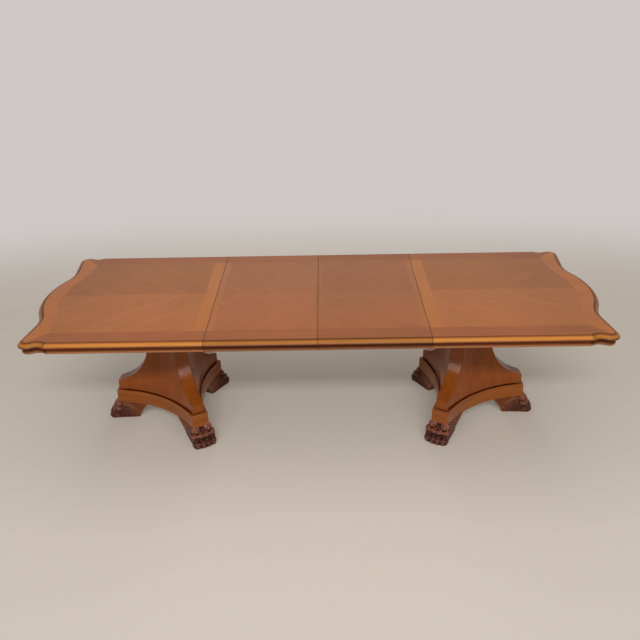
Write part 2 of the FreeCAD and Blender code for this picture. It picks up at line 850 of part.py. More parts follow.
def column_shape():
    radius = value("column_radius")
    low = value("column_bottom")
    shoulder = low + value("column_block_height")
    height = value("plate_underside") - shoulder
    guide = Part.BSplineCurve()
    guide.interpolate([Vector(radius * share, 0, shoulder + height * rise) for rise, share in column_shares])
    wires = [column_wire(point.x, point.z) for point in guide.discretize(Number=column_sections)]
    sweep = Part.makeLoft(wires, True, False)
    block = Part.makeLoft([column_wire(radius, low), column_wire(radius, shoulder)], True, True)
    return block.fuse(sweep).removeSplitter().Solids[0]


def triform_plinth(label):
    body = new_body(label)
    band = sketch_in(body, label + "_band", "XY_Plane", "plinth_bottom")
    step = sketch_in(body, label + "_step", "XY_Plane", "plinth_top")
    band_sizes = [value(name) for name in ("plinth_radius", "plinth_half_width", "plinth_face_distance")]
    inset = value("shadow_inset")
    step_sizes = [value("column_radius") - inset, value("column_half_width") - inset / 2]
    step_sizes.append(value("column_face_distance") - inset)
    for sketch, outline in ((band, band_sizes), (step, step_sizes)):
        for number, curve in enumerate(triform_curves(*outline)):
            sketch.addGeometry(curve)
            sketch.addConstraint(Sketcher.Constraint("Block", number))
    base = pad(body, band, "plinth_height", label + "_band_pad")
    soft = body.newObject("PartDesign::Fillet", label + "_edge_round")
    soft.Base = (base, edges_at(base.Shape, value("plinth_top")))
    bind(soft, "Radius", "plinth_edge_round")
    doc.recompute()
    pad(body, step, "shadow_step", label + "_step_pad")
    return body


def pedestal_plate(label):
    body = new_body(label)
    sketch = sketch_in(body, label + "_outline", "XY_Plane", "plate_underside")
    near = "pedestal_offset - plate_length / 2"
    far = "pedestal_offset + plate_length / 2"
    edge = "plate_width / 2"
    draw_outline(sketch, ((near, "-" + edge), (far, "-" + edge), (far, edge), (near, edge)))
    draw_holes = sketch_in(body, label + "_holes", "XY_Plane", "plate_underside")
    for x, y in bolt_places:
        draw_circle(draw_holes, x, y, "bolt_radius + bolt_clearance")
    board = pad(body, sketch, "plate_thickness", label + "_pad")
    bevel = body.newObject("PartDesign::Chamfer", label + "_bevel")
    bevel.Base = (board, edges_at(board.Shape, value("plate_underside")))
    bind(bevel, "Size", "plate_chamfer")
    doc.recompute()
    pocket_up(body, draw_holes, "plate_thickness + overrun", label + "_bolt_pocket")
    return body


# paw foot: a tapered body, four toes with knuckles, and two scrolls under the plinth's corner

# Share of the height, then heel and front as shares of the length, then the half widths at the heel,
# the waist and the front as shares of the widest. The top spreads along the plinth's hollow sides.
paw_shares = (
    (0.00, 0.02, 0.80, 0.76, 0.81, 0.84),
    (0.24, -0.02, 0.83, 0.82, 0.78, 0.85),
    (0.52, -0.13, 0.80, 0.92, 0.80, 0.89),
    (0.78, -0.24, 0.69, 1.04, 0.78, 0.77),
    (1.00, -0.35, 0.63, 1.14, 0.78, 0.62),
)
# place across as a share of the half width, and set-back as a share of the toe's length
toe_shares = ((-0.635, 0.20), (-0.212, 0.0), (0.212, 0.0), (0.635, 0.20))
toe_sunk_share = 0.95
knuckle_back_share = 0.62
knuckle_spread_share = 1.1


def paw_section(heel, front, widths, level):
    at_heel, at_waist, at_front = widths
    waist = (heel + front) / 2
    edges = []
    for sign in (1, -1):
        side = [Vector(front, at_front, level), Vector(waist, at_waist, level), Vector(heel, at_heel, level)]
        points = [Vector(point.x, sign * point.y, level) for point in side]
        edges.append(Part.Arc(*points[::sign]).toShape())
    heel_line = Part.LineSegment(Vector(heel, at_heel, level), Vector(heel, -at_heel, level)).toShape()
    front_line = Part.LineSegment(Vector(front, -at_front, level), Vector(front, at_front, level)).toShape()
    return Part.Wire([edges[0], heel_line, edges[1], front_line])


def ellipsoid(centre, radii):
    matrix = FreeCAD.Matrix()
    matrix.scale(1, radii.y / radii.x, radii.z / radii.x)
    matrix.move(centre)
    return Part.makeSphere(radii.x).transformGeometry(matrix)


def paw_shape():
    heel = value("paw_heel")
    length = value("paw_length")
    widest = value("paw_half_width")
    floor = value("glide_thickness")
    top = value("plinth_bottom")
    wires = []
    for height_share, heel_share, front_share, *width_shares in paw_shares:
        level = floor + (top - floor) * height_share
        back = heel + length * heel_share
        front = heel + length * front_share
        wires.append(paw_section(back, front, [widest * share for share in width_shares], level))
    paw = Part.makeLoft(wires, True, False)
    middle = heel + length / 2
    upright = [edge for edge in paw.Edges if abs(edge.Vertexes[0].Z - edge.Vertexes[-1].Z) > (top - floor) / 2]
    paw = paw.makeFillet(value("paw_edge_round"), [edge for edge in upright if edge.CenterOfMass.x < middle])
    toe = Vector(value("toe_length"), value("toe_half_width"), value("toe_half_height"))
    knuckle = Vector(value("knuckle_length"), value("toe_half_width"), value("knuckle_half_height"))
    for across_share, back_share in toe_shares:
        across = widest * across_share
        set_back = toe.x * (toe_sunk_share + back_share)
        centre = Vector(heel + length - set_back, across, value("toe_level"))
        joint = Vector(centre.x - toe.x * knuckle_back_share, across * knuckle_spread_share, value("knuckle_level"))
        paw = paw.fuse(ellipsoid(centre, toe)).fuse(ellipsoid(joint, knuckle))
    corner_face = value("plinth_radius + fit_gap")
    scroll = Vector(value("scroll_depth"), value("scroll_half_width"), value("scroll_half_height"))
    for sign in (-1, 1):
        centre = Vector(corner_face, sign * value("scroll_spread") / 2, top - value("scroll_drop"))
        paw = paw.fuse(ellipsoid(centre, scroll))
    reach = heel + length
    under = Part.makeBox(2 * reach, 2 * reach, reach, Vector(0, -reach, floor - reach))
    behind = Part.makeBox(corner_face, 2 * reach, reach, Vector(0, -reach, top))
    return paw.cut(under).cut(behind).removeSplitter().Solids[0]


def pedestal_bolts(side, angle):
    bolts = []
    for number, (x, y) in enumerate(bolt_places, 1):
        name = "%s_bolt_%d" % (side, number)
        length = "plate_thickness + bolt_depth"
        shank = cylinder(name + "_shank", "bolt_radius", length, (x, y, "plate_underside"))
        head_foot = (x, y, "plate_underside - bolt_head_height")
        head = cylinder(name + "_head", "bolt_head_radius", "bolt_head_height", head_foot)
        bolts.append(fused(name, shank, head))
    compound = group(side + "_pedestal_bolts", bolts)
    compound.Placement = turned(angle)


def foot_glides(side, angle):
    glides = []
    for number, turn in enumerate(corner_turns, 1):
        name = "%s_glide_%d" % (side, number)
        out = (math.cos(math.radians(turn)), math.sin(math.radians(turn)))
        foot = ("pedestal_offset + %.9f * glide_place" % out[0], "%.9f * glide_place" % out[1], "0")
        glides.append(cylinder(name, "glide_radius", "glide_thickness", foot))
    compound = group(side + "_foot_glides", glides)
    compound.Placement = turned(angle)


paw = paw_shape()
column = column_shape()
paw_names = {"right": ("end", "back", "front"), "left": ("end", "front", "back")}
for side, angle in sides:
    axis = Vector(value("pedestal_offset") * (1 if angle == 0 else -1), 0, 0)
    upright = FreeCAD.Placement(axis, FreeCAD.Rotation(up, angle))
    plate = pedestal_plate(side + "_pedestal_plate")
    plate.Placement = turned(angle)
    keep(plate, side + "_pedestal_plate")
    pedestal_bolts(side, angle)
    keep(shaped(side + "_column", column, upright), side + "_column")
    plinth = triform_plinth(side + "_plinth")
    plinth.Placement = upright
    keep(plinth, side + "_plinth")
    for turn, name in zip(corner_turns, paw_names[side]):
        label = "%s_%s_paw_foot" % (side, name)
        place = FreeCAD.Placement(axis, FreeCAD.Rotation(up, angle + turn))
        keep(shaped(label, paw, place), label)
    foot_glides(side, angle)


# check and write every sub-part

doc.recompute()
for thing in doc.Objects:
    if "Invalid" in thing.State or "Error" in thing.State:
        raise RuntimeError("%s failed: %s" % (thing.Label, thing.State))
os.makedirs("parts", exist_ok=True)
for thing in sub_parts:
    shape = thing.Shape
    if shape.isNull() or not shape.isValid() or not shape.Solids:
        raise RuntimeError("%s has no valid solid" % thing.Label)
for thing in sub_parts:
    thing.Shape.exportStep("parts/%s.step" % thing.Label)
print("%d sub-parts written" % len(sub_parts))
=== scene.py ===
import bpy
import bmesh
import math
import numpy as np
from mathutils import Matrix, Vector, noise


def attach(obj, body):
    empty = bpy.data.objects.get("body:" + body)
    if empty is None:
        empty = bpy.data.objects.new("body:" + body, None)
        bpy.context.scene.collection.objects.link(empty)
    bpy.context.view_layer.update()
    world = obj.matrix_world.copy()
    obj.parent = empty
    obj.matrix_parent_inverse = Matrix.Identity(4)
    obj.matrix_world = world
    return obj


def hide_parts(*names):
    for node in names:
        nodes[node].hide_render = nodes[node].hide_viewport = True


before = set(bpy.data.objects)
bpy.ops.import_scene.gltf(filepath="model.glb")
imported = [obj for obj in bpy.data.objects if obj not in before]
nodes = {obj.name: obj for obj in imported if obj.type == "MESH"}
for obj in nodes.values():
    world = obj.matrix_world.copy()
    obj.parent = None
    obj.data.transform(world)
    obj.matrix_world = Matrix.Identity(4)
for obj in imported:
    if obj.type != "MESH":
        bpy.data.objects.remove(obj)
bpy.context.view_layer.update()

scene = bpy.context.scene
scene.view_settings.view_transform = "Standard"
print("frame loaded:", len(nodes), "nodes")


# sRGB hex code to linear colour
def linearColour(code, alpha=1.0):
    parts = [int(code[i:i + 2], 16) / 255 for i in (1, 3, 5)]
    parts = [c / 12.92 if c <= 0.04045 else ((c + 0.055) / 1.055) ** 2.4 for c in parts]
    return (*parts, alpha)


# inputs come in order or by name, each a value, a socket, or a node that stands for its first output
def addNode(tree, kind, inputs=(), **settings):
    node = tree.nodes.new("ShaderNode" + kind)
    for name, setting in settings.items():
        setattr(node, name, setting)
    named = inputs if isinstance(inputs, dict) else dict(enumerate(inputs))
    for name, source in named.items():
        if isinstance(source, bpy.types.Node):
            source = source.outputs[0]
        if isinstance(source, bpy.types.NodeSocket):
            tree.links.new(source, node.inputs[name])
        else:
            node.inputs[name].default_value = source
    return node


# a stop is a place and a hex code, and an alpha where one is needed
def setRamp(node, stops, interpolation="LINEAR"):
    ramp = node.color_ramp
    ramp.interpolation = interpolation
    while len(ramp.elements) < len(stops):
        ramp.elements.new(1.0)
    for element, (place, *colour) in zip(ramp.elements, stops):
        element.position = place
        element.color = linearColour(*colour)


def newMaterial(name):
    material = bpy.data.materials.new(name)
    material.use_nodes = True
    material.node_tree.nodes.clear()
    return material, material.node_tree


# noise as fine as the width in mm, drawn out along the grain's axes;
# sheetStep is how far apart the sheets of a veneer lie in it
def addGrain(tree, place, grain, axes=()):
    fine = 1000 / grain["width"]
    scale = [fine * grain["stretch"] if axis in axes else fine for axis in range(3)]
    if "sheetStep" in grain:
        scale[2] = grain["sheetStep"]
    stretched = addNode(tree, "VectorMath", (place, scale), operation="MULTIPLY")
    return addNode(tree, "TexNoise", {"Vector": stretched, "Scale": 1.0, **grain["noise"]})


surfaceIor = 1.5            # lacquer, wax and nylon are all near this


# surface of wood or nylon: its gloss, and the pattern that its fine relief follows
def addSurface(tree, coat, colour, rough, pattern):
    relief = addNode(tree, "Bump", {"Strength": coat["bump"], "Distance": coat["relief"], "Height": pattern})
    shader = addNode(tree, "BsdfPrincipled", {
        "Base Color": colour,
        "Roughness": rough,
        "Normal": relief,
        "IOR": surfaceIor,
        "Specular IOR Level": coat["specular"],
    })
    addNode(tree, "OutputMaterial", {"Surface": shader})


# figured cherry veneer laid in bands, satin lacquer: soft sheen, diagonal figure that mirrors at mid width
veneer = {
    "leafField": "#9C5F36",
    "halfField": "#A16335",
    "halfStrip": "#A86733",
    "leafStrip": "#A06236",
    "midStrip": "#9B5F35",
    "sideBand": "#93562F",
    "endBand": "#AB6735",
    "backing": "#7A5234",
    "reach": 1.6,               # metres along the table that the strips' places are a share of
    "seam": 0.559,
    "halfStripWidth": 0.060,
    "leafStripWidth": 0.038,
    "midStripWidth": 0.020,
    "sideBandFrom": 0.439,
    "topFace": 0.7868,
    # inner line of the end band: distance from mid width, distance from mid length less a metre
    "endLine": (
        (0.0, 0.412), (0.09, 0.405), (0.18, 0.384), (0.27, 0.360),
        (0.35, 0.350), (0.438, 0.347), (0.531, 0.436), (0.60, 0.50),
    ),
    "endLineCorners": 3,        # last points of the line, joined straight
    "figureAngle": 40,
    "stripAngle": 90,
    # mm across a broad streak, a fine streak and a pore, the last two coarser than real so that they show
    "figure": {"width": 55, "stretch": 0.16, "sheetStep": 1.0, "noise": {"Detail": 2.0, "Distortion": 0.6}},
    "streak": {"width": 13, "stretch": 0.07, "sheetStep": 3.0, "noise": {"Detail": 3.0, "Roughness": 0.55}},
    "pore": {"width": 2.2, "stretch": 0.05, "sheetStep": 7.0, "noise": {"Detail": 2.0}},
    "leafSheet": 5.1,           # sets the leaves' sheets apart from the half tops' in the pattern
    "figureShare": 0.7,
    "poreShare": 0.4,
    "toneRange": (0.72, 1.38),
    "shadeRange": (0.85, 1.15),
    "paintedBackShade": (0.86, 0.94),  # painted shade of the back half of the field on a half top, on a leaf
    "rightLeafShade": 0.92,
    "endFieldShade": 0.88,
    "endFieldFrom": (1.0, 1.35),
    # painted sheen: tints from front to back, warm at the front and cool at the back
    "paintedSheenFront": (0.925, 0.88, 0.85, 1.0),
    "paintedSheenBack": (1.00, 1.06, 1.36, 1.0),
    "paintedSheenReach": (-0.45, 0.45),
    "seamShade": 0.30,
    "jointShade": 0.84,
    "lineWidth": (0.0010, 0.0030),
    "rough": (0.36, 0.48),
    "bump": 0.08,
    "relief": 0.0003,
    "specular": 0.25,
}


# the open seams on both sides of each leaf are dark lines: the joint, and painted shade in the gap
def addSeamLine(tree, along):
    fromSeam = addNode(tree, "Math", (along, veneer["seam"]), operation="SUBTRACT")
    fromSeam = addNode(tree, "Math", (fromSeam,), operation="ABSOLUTE")
    fromSeam = addNode(tree, "Math", (fromSeam, along), operation="MINIMUM")
    return addNode(tree, "MapRange", (fromSeam, *veneer["lineWidth"], veneer["seamShade"], 1.0))


# bands by place: strips beside the seams, side bands, then the end band over them
def addBands(tree, along, across):
    reach = veneer["reach"]
    seam = veneer["seam"]
    alongShare = addNode(tree, "Math", (along, reach), operation="DIVIDE")
    strips = addNode(tree, "ValToRGB", (alongShare,))
    # where each begins, its colour, and 1 for a strip or 0 for a field
    laidFrom = (
        (0.0, "midStrip", 1.0),
        (veneer["midStripWidth"], "leafField", 0.0),
        (seam - veneer["leafStripWidth"], "leafStrip", 1.0),
        (seam, "halfStrip", 1.0),
        (seam + veneer["halfStripWidth"], "halfField", 0.0),
    )
    setRamp(strips, [(start / reach, veneer[name], strip) for start, name, strip in laidFrom], "CONSTANT")
    onSide = addNode(tree, "Math", (across, veneer["sideBandFrom"]), operation="GREATER_THAN")
    endLine = addNode(tree, "FloatCurve", {"Value": across})
    curve = endLine.mapping.curves[0]
    first, *between, last = veneer["endLine"]
    curve.points[0].location = first
    curve.points[-1].location = last
    for x, y in between:
        curve.points.new(x, y)
    for point in curve.points[-veneer["endLineCorners"]:]:
        point.handle_type = "VECTOR"
    endLine.mapping.update()
    pastMetre = addNode(tree, "Math", (along, 1.0), operation="SUBTRACT")
    pastLine = addNode(tree, "Math", (pastMetre, endLine), operation="SUBTRACT")
    onEnd = addNode(tree, "Math", (pastLine, 0.0), operation="GREATER_THAN")
    colour = addNode(tree, "MixRGB", (onSide, strips, linearColour(veneer["sideBand"])))
    colour = addNode(tree, "MixRGB", (onEnd, colour, linearColour(veneer["endBand"])))
    # the glued joints beside the side bands and the end band show as fine lines
    fromSide = addNode(tree, "Math", (across, veneer["sideBandFrom"]), operation="SUBTRACT")
    fromSide = addNode(tree, "Math", (fromSide,), operation="ABSOLUTE")
    fromSide = addNode(tree, "Math", (fromSide, onEnd), operation="ADD")
    fromEnd = addNode(tree, "Math", (pastLine,), operation="ABSOLUTE")
    fromJoint = addNode(tree, "Math", (fromSide, fromEnd), operation="MINIMUM")
    jointLine = addNode(tree, "MapRange", (fromJoint, *veneer["lineWidth"], veneer["jointShade"], 1.0))
    onRim = addNode(tree, "Math", (onSide, onEnd), operation="MAXIMUM")
    return colour, strips.outputs["Alpha"], onRim, jointLine


# the figure lies aslant in the field, across the table in the strips and along it in the rim bands
def layFigure(tree, folded, onStrip, onRim):
    turned = []
    for degrees in (-veneer["figureAngle"], veneer["stripAngle"]):
        inputs = {"Vector": folded, "Angle": math.radians(degrees)}
        turned.append(addNode(tree, "VectorRotate", inputs, rotation_type="Z_AXIS"))
    aslant, acrossTable = turned
    laid = addNode(tree, "Mix", {0: onStrip, 4: aslant, 5: acrossTable}, data_type="VECTOR").outputs[1]
    return addNode(tree, "Mix", {0: onRim, 4: laid, 5: folded}, data_type="VECTOR").outputs[1]


def makeVeneer():
    material, tree = newMaterial("figuredCherryVeneer")
    place = addNode(tree, "TexCoord").outputs["Object"]
    x, y, z = addNode(tree, "SeparateXYZ", (place,)).outputs
    along = addNode(tree, "Math", (x,), operation="ABSOLUTE")
    across = addNode(tree, "Math", (y,), operation="ABSOLUTE")
    banded, onStrip, onRim, jointLine = addBands(tree, along, across)

    # each sheet has its own figure, and the two sides of a sheet mirror each other
    side = addNode(tree, "Math", (x,), operation="SIGN")
    onLeaf = addNode(tree, "Math", (along, veneer["seam"]), operation="LESS_THAN")
    sheet = addNode(tree, "Math", (onLeaf, veneer["leafSheet"], side), operation="MULTIPLY_ADD")
    folded = addNode(tree, "CombineXYZ", (along, across, sheet))
    laid = layFigure(tree, folded, onStrip, onRim)
    layers = ("figure", "streak", "pore")
    figure, streak, pore = [addGrain(tree, laid, veneer[layer], (0,)) for layer in layers]
    tone = addNode(tree, "Math", (figure, veneer["figureShare"], streak), operation="MULTIPLY_ADD")
    tone = addNode(tree, "Math", (pore, veneer["poreShare"], tone), operation="MULTIPLY_ADD")
    shade = addNode(tree, "MapRange", (tone, *veneer["toneRange"], *veneer["shadeRange"]))

    # painted shade: the back half of the field is darker, as the mirrored sheets' chatoyance shows under
    # this light
    back = addNode(tree, "Math", (y, 0.0), operation="GREATER_THAN")
    banding = addNode(tree, "Math", (onStrip, onRim), operation="MAXIMUM")
    backField = addNode(tree, "Math", (back, banding), operation="SUBTRACT", use_clamp=True)
    paintedBackShade = addNode(tree, "MapRange", (onLeaf, 0.0, 1.0, *veneer["paintedBackShade"]))
    paintedBackShadeFactor = addNode(tree, "MapRange", (backField, 0.0, 1.0, 1.0, paintedBackShade))
    # the right leaf is a little darker
    rightLeaf = addNode(tree, "Math", (onLeaf, side), operation="MULTIPLY")
    rightLeafDarkening = addNode(tree, "MapRange", (rightLeaf, 0.0, 1.0, 1.0, veneer["rightLeafShade"]))
    # the field is a little darker where it meets the end band
    darkerByEndBand = addNode(tree, "MapRange", (along, *veneer["endFieldFrom"], 1.0, veneer["endFieldShade"]))
    for factor in (paintedBackShadeFactor, rightLeafDarkening, darkerByEndBand, addSeamLine(tree, along), jointLine):
        shade = addNode(tree, "Math", (shade, factor), operation="MULTIPLY")

    figured = addNode(tree, "VectorMath", {0: banded, "Scale": shade}, operation="SCALE")
    # painted sheen: the colour goes warmer at the front and cooler, greyer towards the back, where the
    # lacquer would mirror the pale room
    depth = addNode(tree, "MapRange", (y, *veneer["paintedSheenReach"]))
    paintedSheen = addNode(tree, "MixRGB", (depth, veneer["paintedSheenFront"], veneer["paintedSheenBack"]))
    figured = addNode(tree, "VectorMath", (figured, paintedSheen), operation="MULTIPLY")
    onTop = addNode(tree, "Math", (z, veneer["topFace"]), operation="GREATER_THAN")
    plain = linearColour(veneer["backing"])[:3]
    backing = addNode(tree, "VectorMath", {0: plain, "Scale": shade}, operation="SCALE")
    colour = addNode(tree, "MixRGB", (onTop, backing, figured))
    rough = addNode(tree, "MapRange", (streak, 0.0, 1.0, *veneer["rough"]))
    addSurface(tree, veneer, colour, rough, pore)
    return material


# solid golden cherry, moulded and lacquered: colour by height, with dark glaze and painted shade in the
# cove, the quirk and under the bead, and a painted highlight on the ovolo
edgeWood = {
    "bottom": 0.725,
    "height": 0.062,
    # share of the height from the bottom, colour there
    "glazeAndPaintedLight": (
        (0.00, "#6A3C1E"), (0.06, "#98603A"), (0.15, "#A66B40"), (0.21, "#6E3A18"), (0.30, "#5E280C"),
        (0.56, "#642C0E"), (0.66, "#6A3612"), (0.73, "#8A5220"), (0.79, "#AE6C2A"), (0.85, "#BC7830"),
        (0.92, "#AC6A2C"), (0.955, "#7A4220"), (1.0, "#6A371C"),
    ),
    # how light each kind of length is
    "straightLightness": 0.97,
    "leafLightness": 0.66,
    "endLightness": 0.70,
    "grain": {"width": 7, "stretch": 0.04, "noise": {"Detail": 5.0, "Roughness": 0.6}},
    "grainRange": (0.25, 0.75),
    "shadeRange": (0.82, 1.14),
    "mitre": 1.3376,
    "mitreWidth": (0.002, 0.011),
    "mitreShade": 0.60,
    "bow": (0.36, 0.46),        # metres from mid width: inside it the rim gets painted shade
    "bowShade": 0.74,
    "rough": (0.26, 0.40),
    "bump": 0.10,
    "relief": 0.0004,
    "specular": 0.12,
}


def makeEdgeWood(name, grainAxis, stain):
    material, tree = newMaterial(name)
    place = addNode(tree, "TexCoord").outputs["Object"]
    x, y, z = addNode(tree, "SeparateXYZ", (place,)).outputs
    along = addNode(tree, "Math", (x,), operation="ABSOLUTE")
    across = addNode(tree, "Math", (y,), operation="ABSOLUTE")
    top = edgeWood["bottom"] + edgeWood["height"]
    level = addNode(tree, "MapRange", (z, edgeWood["bottom"], top))
    glazeAndPaintedLight = addNode(tree, "ValToRGB", (level,))
    setRamp(glazeAndPaintedLight, edgeWood["glazeAndPaintedLight"])
    grain = addGrain(tree, place, edgeWood["grain"], (grainAxis,))
    scaledRange = [shade * edgeWood[stain] for shade in edgeWood["shadeRange"]]
    shade = addNode(tree, "MapRange", (grain, *edgeWood["grainRange"], *scaledRange))
    # painted shade: darker in the mitre beside each ear and on the bow's rim, which faces away from the
    # light
    fromMitre = addNode(tree, "Math", (along, edgeWood["mitre"]), operation="SUBTRACT")
    fromMitre = addNode(tree, "Math", (fromMitre,), operation="ABSOLUTE")
    paintedMitreShade = addNode(tree, "MapRange", (fromMitre, *edgeWood["mitreWidth"], edgeWood["mitreShade"], 1.0))
    paintedBowShade = addNode(tree, "MapRange", (across, *edgeWood["bow"], edgeWood["bowShade"], 1.0))
    for factor in (paintedMitreShade, addSeamLine(tree, along), paintedBowShade):
        shade = addNode(tree, "Math", (shade, factor), operation="MULTIPLY")
    colour = addNode(tree, "VectorMath", {0: glazeAndPaintedLight, "Scale": shade}, operation="SCALE")
    rough = addNode(tree, "MapRange", (grain, 0.0, 1.0, *edgeWood["rough"]))
    addSurface(tree, edgeWood, colour, rough, grain)
    return material


# cherry veneer and solid on the pedestals, lacquered: upright grain on the column, level grain on the plinth
# and a painted shadow line between
pedestalWood = {
    "column": ((0.0, "#773A10"), (0.35, "#7F3F12"), (0.65, "#854314"), (1.0, "#8B4918")),
    "plinth": ((0.0, "#743B13"), (0.35, "#83451A"), (0.65, "#8D4D1D"), (1.0, "#965624")),
    "grain": {"width": 9, "stretch": 0.05, "noise": {"Detail": 5.0, "Roughness": 0.55}},
    "broad": {"width": 56.25, "stretch": 0.05, "noise": {"Detail": 2.0}},
    "broadShare": 0.9,
    "toneRange": (0.60, 1.30),
    "shadowLine": "#3C150B",
    "shadowLow": 0.1864,
    "shadowHigh": 0.1926,
    "axis": 0.845,
    # arcs of the column's three hollow faces round the recess: how far their centres lie from the axis,
    # at which angles (the third mirrors the first), and the radius less a margin
    "arcPlace": 0.8081,
    "arcAngles": (60, 180),
    "arcRadius": 0.6635,
    "corner": (0.300, 0.336),   # metres from the axis over which the line fades
    "cornerShare": 0.35,
    "rough": (0.16, 0.23),
    "bump": 0.03,
    "relief": 0.0004,
    "specular": 0.22,
}


# painted shadow in the recess over the plinth: within the arcs of the three faces, fading out at the corners
def addShadowLine(tree, x, y, z):
    along = addNode(tree, "Math", (x,), operation="ABSOLUTE")
    along = addNode(tree, "Math", (along, pedestalWood["axis"]), operation="SUBTRACT")
    across = addNode(tree, "Math", (y,), operation="ABSOLUTE")
    spoke = addNode(tree, "CombineXYZ", (along, across))
    distances = []
    for angle in pedestalWood["arcAngles"]:
        turned = math.radians(angle)
        centre = [pedestalWood["arcPlace"] * share for share in (math.cos(turned), math.sin(turned), 0)]
        distances.append(addNode(tree, "VectorMath", (spoke, centre), operation="DISTANCE").outputs["Value"])
    nearest = addNode(tree, "Math", distances, operation="MINIMUM")
    line = addNode(tree, "Math", (nearest, pedestalWood["arcRadius"]), operation="GREATER_THAN")
    above = addNode(tree, "Math", (z, pedestalWood["shadowLow"]), operation="GREATER_THAN")
    below = addNode(tree, "Math", (z, pedestalWood["shadowHigh"]), operation="LESS_THAN")
    reach = addNode(tree, "VectorMath", (spoke,), operation="LENGTH").outputs["Value"]
    kept = addNode(tree, "MapRange", (reach, *pedestalWood["corner"], 1.0, pedestalWood["cornerShare"]))
    for limit in (above, below, kept):
        line = addNode(tree, "Math", (line, limit), operation="MULTIPLY")
    return line


def makePedestalWood(name, stain, grainAxes):
    material, tree = newMaterial(name)
    place = addNode(tree, "TexCoord").outputs["Object"]
    grain = addGrain(tree, place, pedestalWood["grain"], grainAxes)
    broad = addGrain(tree, place, pedestalWood["broad"], grainAxes)
    tone = addNode(tree, "Math", (broad, pedestalWood["broadShare"], grain), operation="MULTIPLY_ADD")
    tone = addNode(tree, "MapRange", (tone, *pedestalWood["toneRange"]))
    colour = addNode(tree, "ValToRGB", (tone,))
    setRamp(colour, pedestalWood[stain])
    line = addShadowLine(tree, *addNode(tree, "SeparateXYZ", (place,)).outputs)
    colour = addNode(tree, "MixRGB", (line, colour, linearColour(pedestalWood["shadowLine"])))
    rough = addNode(tree, "MapRange", (grain, 0.0, 1.0, *pedestalWood["rough"]))
    addSurface(tree, pedestalWood, colour, rough, grain)
    return material


# carved mahogany feet, stained dark and lacquered: near black in the cuts, glaze with painted shade, and
# red-brown on high places with a painted highlight
footWood = {
    "toe": ((0.0, "#120604"), (0.30, "#30130A"), (0.62, "#4A2216"), (1.0, "#935841")),
    "heel": ((0.0, "#180803"), (0.30, "#401C0B"), (0.62, "#6C3618"), (1.0, "#905830")),
    "grain": {"width": 5, "stretch": 0.2, "noise": {"Detail": 4.0}},
    "grainRange": (0.25, 0.75),
    "shadeRange": (0.80, 1.18),
    "rubbedFrom": (0.2, 0.7),
    "rough": (0.62, 0.30),
    "bump": 0.15,
    "relief": 0.0004,
    "specular": 0.22,
}


def makeFootWood():
    material, tree = newMaterial("carvedMahogany")
    place = addNode(tree, "TexCoord").outputs["Object"]
    # carveHeight is lower in the hollows and on the toes for painted shade, higher on the scrolls for a
    # painted highlight
    height = addNode(tree, "Attribute", attribute_name="carveHeight").outputs["Fac"]
    heel = addNode(tree, "Attribute", attribute_name="heelShare").outputs["Fac"]
    stains = {}
    for name in ("toe", "heel"):
        stains[name] = addNode(tree, "ValToRGB", (height,))
        setRamp(stains[name], footWood[name])
    stain = addNode(tree, "MixRGB", (heel, stains["toe"], stains["heel"]))
    grain = addGrain(tree, place, footWood["grain"], (2,))
    shade = addNode(tree, "MapRange", (grain, *footWood["grainRange"], *footWood["shadeRange"]))
    colour = addNode(tree, "VectorMath", {0: stain, "Scale": shade}, operation="SCALE")
    rough = addNode(tree, "MapRange", (height, *footWood["rubbedFrom"], *footWood["rough"]))
    addSurface(tree, footWood, colour, rough, grain)
    return material


# planed and waxed maple for slides, ties, plates, cleats and buttons: pale, close grain, little gloss
slideWood = {
    "tones": ((0.3, "#A8845A"), (0.7, "#CDB084")),
    "grain": {"width": 4, "stretch": 0.03, "noise": {"Detail": 5.0}},
    "rough": (0.48, 0.62),
    "bump": 0.15,
    "relief": 0.0004,
    "specular": 0.5,
}


def makeSlideWood(name, grainAxis):
    material, tree = newMaterial(name)
    place = addNode(tree, "TexCoord").outputs["Object"]
    grain = addGrain(tree, place, slideWood["grain"], (grainAxis,))
    colour = addNode(tree, "ValToRGB", (grain,))
    setRamp(colour, slideWood["tones"])
    rough = addNode(tree, "MapRange", (grain, 0.0, 1.0, *slideWood["rough"]))
    addSurface(tree, slideWood, colour, rough, grain)
    return material


# cast iron gears and racks, zinc-plated steel bolts and screws: grey metal, slightly mottled
metals = {
    "castIron": {
        "tones": ((0.3, "#2E2D2C"), (0.7, "#4A4846")),
        "mottle": {"width": 3, "noise": {"Detail": 3.0}},
        "rough": (0.50, 0.68),
    },
    "zincPlatedSteel": {
        "tones": ((0.3, "#8E8C86"), (0.7, "#B9B7B0")),
        "mottle": {"width": 2, "noise": {"Detail": 3.0}},
        "rough": (0.28, 0.42),
    },
}


def makeMetal(name):
    metal = metals[name]
    material, tree = newMaterial(name)
    place = addNode(tree, "TexCoord").outputs["Object"]
    mottle = addGrain(tree, place, metal["mottle"])
    colour = addNode(tree, "ValToRGB", (mottle,))
    setRamp(colour, metal["tones"])
    rough = addNode(tree, "MapRange", (mottle, 0.0, 1.0, *metal["rough"]))
    shader = addNode(tree, "BsdfPrincipled", {"Base Color": colour, "Roughness": rough, "Metallic": 1.0})
    addNode(tree, "OutputMaterial", {"Surface": shader})
    return material


# moulded nylon glides: near black, fine moulded texture
nylon = {
    "tones": ((0.3, "#1A1817"), (0.7, "#2A2725")),
    "speck": {"width": 1.5, "noise": {"Detail": 2.0}},
    "rough": 0.6,
    "bump": 0.2,
    "relief": 0.0002,
    "specular": 0.5,
}


def makeNylon():
    material, tree = newMaterial("mouldedNylon")
    place = addNode(tree, "TexCoord").outputs["Object"]
    speck = addGrain(tree, place, nylon["speck"])
    colour = addNode(tree, "ValToRGB", (speck,))
    setRamp(colour, nylon["tones"])
    addSurface(tree, nylon, colour, nylon["rough"], speck)
    return material


